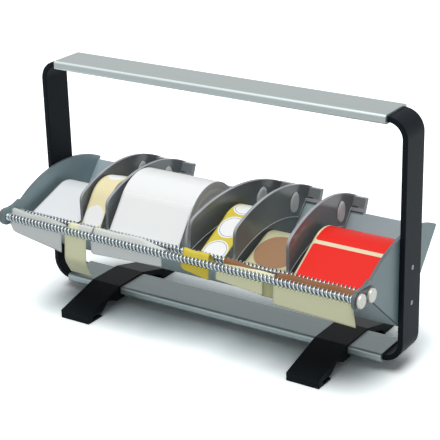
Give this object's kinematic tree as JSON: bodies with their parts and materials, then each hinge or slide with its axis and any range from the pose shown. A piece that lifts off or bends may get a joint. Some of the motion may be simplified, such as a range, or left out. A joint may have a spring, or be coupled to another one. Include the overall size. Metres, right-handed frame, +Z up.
{
  "type": "label roll dispenser",
  "caption": "Desk dispenser that holds label rolls side by side in a tilted sheet tray between sliding dividers, in a flat-bar frame with sprung tear-off rods and clip-on feet",
  "frame": {"origin": "middle of the footprint of the whole bounding box, on the table", "axes": "+X along the rails to the dispenser's right as seen from the front, +Y to the back, +Z up"},
  "size_m": [0.526, 0.2335, 0.323],
  "materials": {
    "black_bar": "black powder coat, satin",
    "rail_aluminium": "satin anodised, brushed along its length",
    "foot_black": "moulded black, satin",
    "tray_sheet": "blue-grey paint, satin",
    "end_plate_grey": "blue-grey paint, satin",
    "fixing_steel": "bright zinc plate",
    "spring_steel": "bright wire",
    "divider_grey": "dark grey moulding, semi-gloss",
    "paper_white": "white coated paper",
    "paper_cream": "cream backing paper with white labels",
    "paper_yellow": "yellow backing paper with white labels",
    "paper_brown": "cream backing paper with brown labels",
    "paper_red": "cream backing paper with red labels",
    "card_core": "plain wound card"
  },
  "bodies": {
    "frame": {"left_upright": "black_bar", "right_upright": "black_bar", "top_rail": "rail_aluminium", "bottom_rail": "rail_aluminium", "left_foot": "foot_black", "right_foot": "foot_black", "tray": "tray_sheet", "left_end_plate": "end_plate_grey", "right_end_plate": "end_plate_grey", "tray_screws": "fixing_steel", "front_rod": "spring_steel", "rear_rod": "spring_steel", "front_spring": "spring_steel", "rear_spring": "spring_steel", "left_clamp_plate": "fixing_steel", "right_clamp_plate": "fixing_steel", "rod_cap_nuts": "fixing_steel", "strip_1": "paper_white", "strip_2": "paper_cream", "strip_3": "paper_white", "strip_4": "paper_yellow", "strip_5": "paper_brown", "strip_6": "paper_red"},
    "divider_1_body": {"divider_1": "divider_grey"},
    "divider_2_body": {"divider_2": "divider_grey"},
    "divider_3_body": {"divider_3": "divider_grey"},
    "divider_4_body": {"divider_4": "divider_grey"},
    "divider_5_body": {"divider_5": "divider_grey"},
    "roll_1_body": {"roll_1": "paper_white", "core_1": "card_core"},
    "roll_2_body": {"roll_2": "paper_cream", "core_2": "card_core"},
    "roll_3_body": {"roll_3": "paper_white", "core_3": "card_core"},
    "roll_4_body": {"roll_4": "paper_yellow", "core_4": "card_core"},
    "roll_5_body": {"roll_5": "paper_brown", "core_5": "card_core"},
    "roll_6_body": {"roll_6": "paper_red", "core_6": "card_core"}
  },
  "joints": [
    {"name": "divider_1_slide", "type": "slide", "parent": "frame", "child": "divider_1_body", "axis": [1, 0, 0], "range_m": [-0.001, 0.001]},
    {"name": "divider_2_slide", "type": "slide", "parent": "frame", "child": "divider_2_body", "axis": [1, 0, 0], "range_m": [-0.001, 0.003]},
    {"name": "divider_3_slide", "type": "slide", "parent": "frame", "child": "divider_3_body", "axis": [1, 0, 0], "range_m": [-0.006, 0.001]},
    {"name": "divider_4_slide", "type": "slide", "parent": "frame", "child": "divider_4_body", "axis": [1, 0, 0], "range_m": [-0.001, 0.001]},
    {"name": "divider_5_slide", "type": "slide", "parent": "frame", "child": "divider_5_body", "axis": [1, 0, 0], "range_m": [-0.001, 0.0086]},
    {"name": "roll_1_spin", "type": "hinge", "parent": "frame", "child": "roll_1_body", "pos_m": [0, -0.00072, 0.1163], "axis": [1, 0, 0], "continuous": true},
    {"name": "roll_2_spin", "type": "hinge", "parent": "frame", "child": "roll_2_body", "pos_m": [0, -0.00166, 0.12828], "axis": [1, 0, 0], "continuous": true},
    {"name": "roll_3_spin", "type": "hinge", "parent": "frame", "child": "roll_3_body", "pos_m": [0, -0.00255, 0.13956], "axis": [1, 0, 0], "continuous": true},
    {"name": "roll_4_spin", "type": "hinge", "parent": "frame", "child": "roll_4_body", "pos_m": [0, -0.00149, 0.12616], "axis": [1, 0, 0], "continuous": true},
    {"name": "roll_5_spin", "type": "hinge", "parent": "frame", "child": "roll_5_body", "pos_m": [0, -0.00033, 0.11136], "axis": [1, 0, 0], "continuous": true},
    {"name": "roll_6_spin", "type": "hinge", "parent": "frame", "child": "roll_6_body", "pos_m": [0, -0.00132, 0.12391], "axis": [1, 0, 0], "continuous": true}
  ]
}
